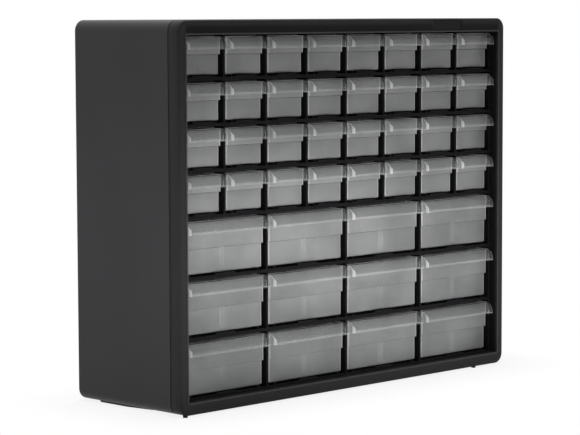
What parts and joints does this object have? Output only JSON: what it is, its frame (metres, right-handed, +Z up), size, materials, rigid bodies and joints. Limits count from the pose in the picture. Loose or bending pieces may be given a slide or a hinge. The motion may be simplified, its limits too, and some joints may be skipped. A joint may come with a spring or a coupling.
{
  "type": "parts bin cabinet",
  "caption": "Black moulded parts cabinet: rows of small translucent drawers over rows of wider ones, each sliding out on runners; it stands on feet or hangs on two keyholes.",
  "frame": {"origin": "on the floor, under the middle of the cabinet", "axes": "+X to the right as seen from the front, +Y to the back wall, +Z up; the drawers pull out along -Y"},
  "size_m": [0.508, 0.162, 0.402],
  "materials": {
    "housing_plastic": "charcoal, fine moulded texture",
    "bezel_plastic": "black, satin",
    "plate_plastic": "dark grey, satin",
    "rack_plastic": "black, satin",
    "drawer_plastic": "translucent smoke, glossy outside"
  },
  "bodies": {
    "cabinet": {"rear_housing": "housing_plastic", "front_bezel": "bezel_plastic", "blank_plate": "plate_plastic", "top_plate": "rack_plastic", "shelf_1": "rack_plastic", "shelf_2": "rack_plastic", "shelf_3": "rack_plastic", "shelf_4": "rack_plastic", "shelf_5": "rack_plastic", "shelf_6": "rack_plastic", "shelf_7": "rack_plastic", "long_posts": "rack_plastic", "short_posts": "rack_plastic", "left_end_post": "rack_plastic", "right_end_post": "rack_plastic"},
    "small_drawer_1_1": {"small_drawer_1_1": "drawer_plastic"},
    "small_drawer_1_2": {"small_drawer_1_2": "drawer_plastic"},
    "small_drawer_1_3": {"small_drawer_1_3": "drawer_plastic"},
    "small_drawer_1_4": {"small_drawer_1_4": "drawer_plastic"},
    "small_drawer_1_5": {"small_drawer_1_5": "drawer_plastic"},
    "small_drawer_1_6": {"small_drawer_1_6": "drawer_plastic"},
    "small_drawer_1_7": {"small_drawer_1_7": "drawer_plastic"},
    "small_drawer_1_8": {"small_drawer_1_8": "drawer_plastic"},
    "small_drawer_2_1": {"small_drawer_2_1": "drawer_plastic"},
    "small_drawer_2_2": {"small_drawer_2_2": "drawer_plastic"},
    "small_drawer_2_3": {"small_drawer_2_3": "drawer_plastic"},
    "small_drawer_2_4": {"small_drawer_2_4": "drawer_plastic"},
    "small_drawer_2_5": {"small_drawer_2_5": "drawer_plastic"},
    "small_drawer_2_6": {"small_drawer_2_6": "drawer_plastic"},
    "small_drawer_2_7": {"small_drawer_2_7": "drawer_plastic"},
    "small_drawer_2_8": {"small_drawer_2_8": "drawer_plastic"},
    "small_drawer_3_1": {"small_drawer_3_1": "drawer_plastic"},
    "small_drawer_3_2": {"small_drawer_3_2": "drawer_plastic"},
    "small_drawer_3_3": {"small_drawer_3_3": "drawer_plastic"},
    "small_drawer_3_4": {"small_drawer_3_4": "drawer_plastic"},
    "small_drawer_3_5": {"small_drawer_3_5": "drawer_plastic"},
    "small_drawer_3_6": {"small_drawer_3_6": "drawer_plastic"},
    "small_drawer_3_7": {"small_drawer_3_7": "drawer_plastic"},
    "small_drawer_3_8": {"small_drawer_3_8": "drawer_plastic"},
    "small_drawer_4_1": {"small_drawer_4_1": "drawer_plastic"},
    "small_drawer_4_2": {"small_drawer_4_2": "drawer_plastic"},
    "small_drawer_4_3": {"small_drawer_4_3": "drawer_plastic"},
    "small_drawer_4_4": {"small_drawer_4_4": "drawer_plastic"},
    "small_drawer_4_5": {"small_drawer_4_5": "drawer_plastic"},
    "small_drawer_4_6": {"small_drawer_4_6": "drawer_plastic"},
    "small_drawer_4_7": {"small_drawer_4_7": "drawer_plastic"},
    "small_drawer_4_8": {"small_drawer_4_8": "drawer_plastic"},
    "large_drawer_5_1": {"large_drawer_5_1": "drawer_plastic"},
    "large_drawer_5_2": {"large_drawer_5_2": "drawer_plastic"},
    "large_drawer_5_3": {"large_drawer_5_3": "drawer_plastic"},
    "large_drawer_5_4": {"large_drawer_5_4": "drawer_plastic"},
    "large_drawer_6_1": {"large_drawer_6_1": "drawer_plastic"},
    "large_drawer_6_2": {"large_drawer_6_2": "drawer_plastic"},
    "large_drawer_6_3": {"large_drawer_6_3": "drawer_plastic"},
    "large_drawer_6_4": {"large_drawer_6_4": "drawer_plastic"},
    "large_drawer_7_1": {"large_drawer_7_1": "drawer_plastic"},
    "large_drawer_7_2": {"large_drawer_7_2": "drawer_plastic"},
    "large_drawer_7_3": {"large_drawer_7_3": "drawer_plastic"},
    "large_drawer_7_4": {"large_drawer_7_4": "drawer_plastic"}
  },
  "joints": [
    {"name": "small_drawer_1_1_slide", "type": "slide", "parent": "cabinet", "child": "small_drawer_1_1", "axis": [0, -1, 0], "range_m": [0, 0.112]},
    {"name": "small_drawer_1_2_slide", "type": "slide", "parent": "cabinet", "child": "small_drawer_1_2", "axis": [0, -1, 0], "range_m": [0, 0.112]},
    {"name": "small_drawer_1_3_slide", "type": "slide", "parent": "cabinet", "child": "small_drawer_1_3", "axis": [0, -1, 0], "range_m": [0, 0.112]},
    {"name": "small_drawer_1_4_slide", "type": "slide", "parent": "cabinet", "child": "small_drawer_1_4", "axis": [0, -1, 0], "range_m": [0, 0.112]},
    {"name": "small_drawer_1_5_slide", "type": "slide", "parent": "cabinet", "child": "small_drawer_1_5", "axis": [0, -1, 0], "range_m": [0, 0.112]},
    {"name": "small_drawer_1_6_slide", "type": "slide", "parent": "cabinet", "child": "small_drawer_1_6", "axis": [0, -1, 0], "range_m": [0, 0.112]},
    {"name": "small_drawer_1_7_slide", "type": "slide", "parent": "cabinet", "child": "small_drawer_1_7", "axis": [0, -1, 0], "range_m": [0, 0.112]},
    {"name": "small_drawer_1_8_slide", "type": "slide", "parent": "cabinet", "child": "small_drawer_1_8", "axis": [0, -1, 0], "range_m": [0, 0.112]},
    {"name": "small_drawer_2_1_slide", "type": "slide", "parent": "cabinet", "child": "small_drawer_2_1", "axis": [0, -1, 0], "range_m": [0, 0.112]},
    {"name": "small_drawer_2_2_slide", "type": "slide", "parent": "cabinet", "child": "small_drawer_2_2", "axis": [0, -1, 0], "range_m": [0, 0.112]},
    {"name": "small_drawer_2_3_slide", "type": "slide", "parent": "cabinet", "child": "small_drawer_2_3", "axis": [0, -1, 0], "range_m": [0, 0.112]},
    {"name": "small_drawer_2_4_slide", "type": "slide", "parent": "cabinet", "child": "small_drawer_2_4", "axis": [0, -1, 0], "range_m": [0, 0.112]},
    {"name": "small_drawer_2_5_slide", "type": "slide", "parent": "cabinet", "child": "small_drawer_2_5", "axis": [0, -1, 0], "range_m": [0, 0.112]},
    {"name": "small_drawer_2_6_slide", "type": "slide", "parent": "cabinet", "child": "small_drawer_2_6", "axis": [0, -1, 0], "range_m": [0, 0.112]},
    {"name": "small_drawer_2_7_slide", "type": "slide", "parent": "cabinet", "child": "small_drawer_2_7", "axis": [0, -1, 0], "range_m": [0, 0.112]},
    {"name": "small_drawer_2_8_slide", "type": "slide", "parent": "cabinet", "child": "small_drawer_2_8", "axis": [0, -1, 0], "range_m": [0, 0.112]},
    {"name": "small_drawer_3_1_slide", "type": "slide", "parent": "cabinet", "child": "small_drawer_3_1", "axis": [0, -1, 0], "range_m": [0, 0.112]},
    {"name": "small_drawer_3_2_slide", "type": "slide", "parent": "cabinet", "child": "small_drawer_3_2", "axis": [0, -1, 0], "range_m": [0, 0.112]},
    {"name": "small_drawer_3_3_slide", "type": "slide", "parent": "cabinet", "child": "small_drawer_3_3", "axis": [0, -1, 0], "range_m": [0, 0.112]},
    {"name": "small_drawer_3_4_slide", "type": "slide", "parent": "cabinet", "child": "small_drawer_3_4", "axis": [0, -1, 0], "range_m": [0, 0.112]},
    {"name": "small_drawer_3_5_slide", "type": "slide", "parent": "cabinet", "child": "small_drawer_3_5", "axis": [0, -1, 0], "range_m": [0, 0.112]},
    {"name": "small_drawer_3_6_slide", "type": "slide", "parent": "cabinet", "child": "small_drawer_3_6", "axis": [0, -1, 0], "range_m": [0, 0.112]},
    {"name": "small_drawer_3_7_slide", "type": "slide", "parent": "cabinet", "child": "small_drawer_3_7", "axis": [0, -1, 0], "range_m": [0, 0.112]},
    {"name": "small_drawer_3_8_slide", "type": "slide", "parent": "cabinet", "child": "small_drawer_3_8", "axis": [0, -1, 0], "range_m": [0, 0.112]},
    {"name": "small_drawer_4_1_slide", "type": "slide", "parent": "cabinet", "child": "small_drawer_4_1", "axis": [0, -1, 0], "range_m": [0, 0.112]},
    {"name": "small_drawer_4_2_slide", "type": "slide", "parent": "cabinet", "child": "small_drawer_4_2", "axis": [0, -1, 0], "range_m": [0, 0.112]},
    {"name": "small_drawer_4_3_slide", "type": "slide", "parent": "cabinet", "child": "small_drawer_4_3", "axis": [0, -1, 0], "range_m": [0, 0.112]},
    {"name": "small_drawer_4_4_slide", "type": "slide", "parent": "cabinet", "child": "small_drawer_4_4", "axis": [0, -1, 0], "range_m": [0, 0.112]},
    {"name": "small_drawer_4_5_slide", "type": "slide", "parent": "cabinet", "child": "small_drawer_4_5", "axis": [0, -1, 0], "range_m": [0, 0.112]},
    {"name": "small_drawer_4_6_slide", "type": "slide", "parent": "cabinet", "child": "small_drawer_4_6", "axis": [0, -1, 0], "range_m": [0, 0.112]},
    {"name": "small_drawer_4_7_slide", "type": "slide", "parent": "cabinet", "child": "small_drawer_4_7", "axis": [0, -1, 0], "range_m": [0, 0.112]},
    {"name": "small_drawer_4_8_slide", "type": "slide", "parent": "cabinet", "child": "small_drawer_4_8", "axis": [0, -1, 0], "range_m": [0, 0.112]},
    {"name": "large_drawer_5_1_slide", "type": "slide", "parent": "cabinet", "child": "large_drawer_5_1", "axis": [0, -1, 0], "range_m": [0, 0.112]},
    {"name": "large_drawer_5_2_slide", "type": "slide", "parent": "cabinet", "child": "large_drawer_5_2", "axis": [0, -1, 0], "range_m": [0, 0.112]},
    {"name": "large_drawer_5_3_slide", "type": "slide", "parent": "cabinet", "child": "large_drawer_5_3", "axis": [0, -1, 0], "range_m": [0, 0.112]},
    {"name": "large_drawer_5_4_slide", "type": "slide", "parent": "cabinet", "child": "large_drawer_5_4", "axis": [0, -1, 0], "range_m": [0, 0.112]},
    {"name": "large_drawer_6_1_slide", "type": "slide", "parent": "cabinet", "child": "large_drawer_6_1", "axis": [0, -1, 0], "range_m": [0, 0.112]},
    {"name": "large_drawer_6_2_slide", "type": "slide", "parent": "cabinet", "child": "large_drawer_6_2", "axis": [0, -1, 0], "range_m": [0, 0.112]},
    {"name": "large_drawer_6_3_slide", "type": "slide", "parent": "cabinet", "child": "large_drawer_6_3", "axis": [0, -1, 0], "range_m": [0, 0.112]},
    {"name": "large_drawer_6_4_slide", "type": "slide", "parent": "cabinet", "child": "large_drawer_6_4", "axis": [0, -1, 0], "range_m": [0, 0.112]},
    {"name": "large_drawer_7_1_slide", "type": "slide", "parent": "cabinet", "child": "large_drawer_7_1", "axis": [0, -1, 0], "range_m": [0, 0.112]},
    {"name": "large_drawer_7_2_slide", "type": "slide", "parent": "cabinet", "child": "large_drawer_7_2", "axis": [0, -1, 0], "range_m": [0, 0.112]},
    {"name": "large_drawer_7_3_slide", "type": "slide", "parent": "cabinet", "child": "large_drawer_7_3", "axis": [0, -1, 0], "range_m": [0, 0.112]},
    {"name": "large_drawer_7_4_slide", "type": "slide", "parent": "cabinet", "child": "large_drawer_7_4", "axis": [0, -1, 0], "range_m": [0, 0.112]}
  ]
}
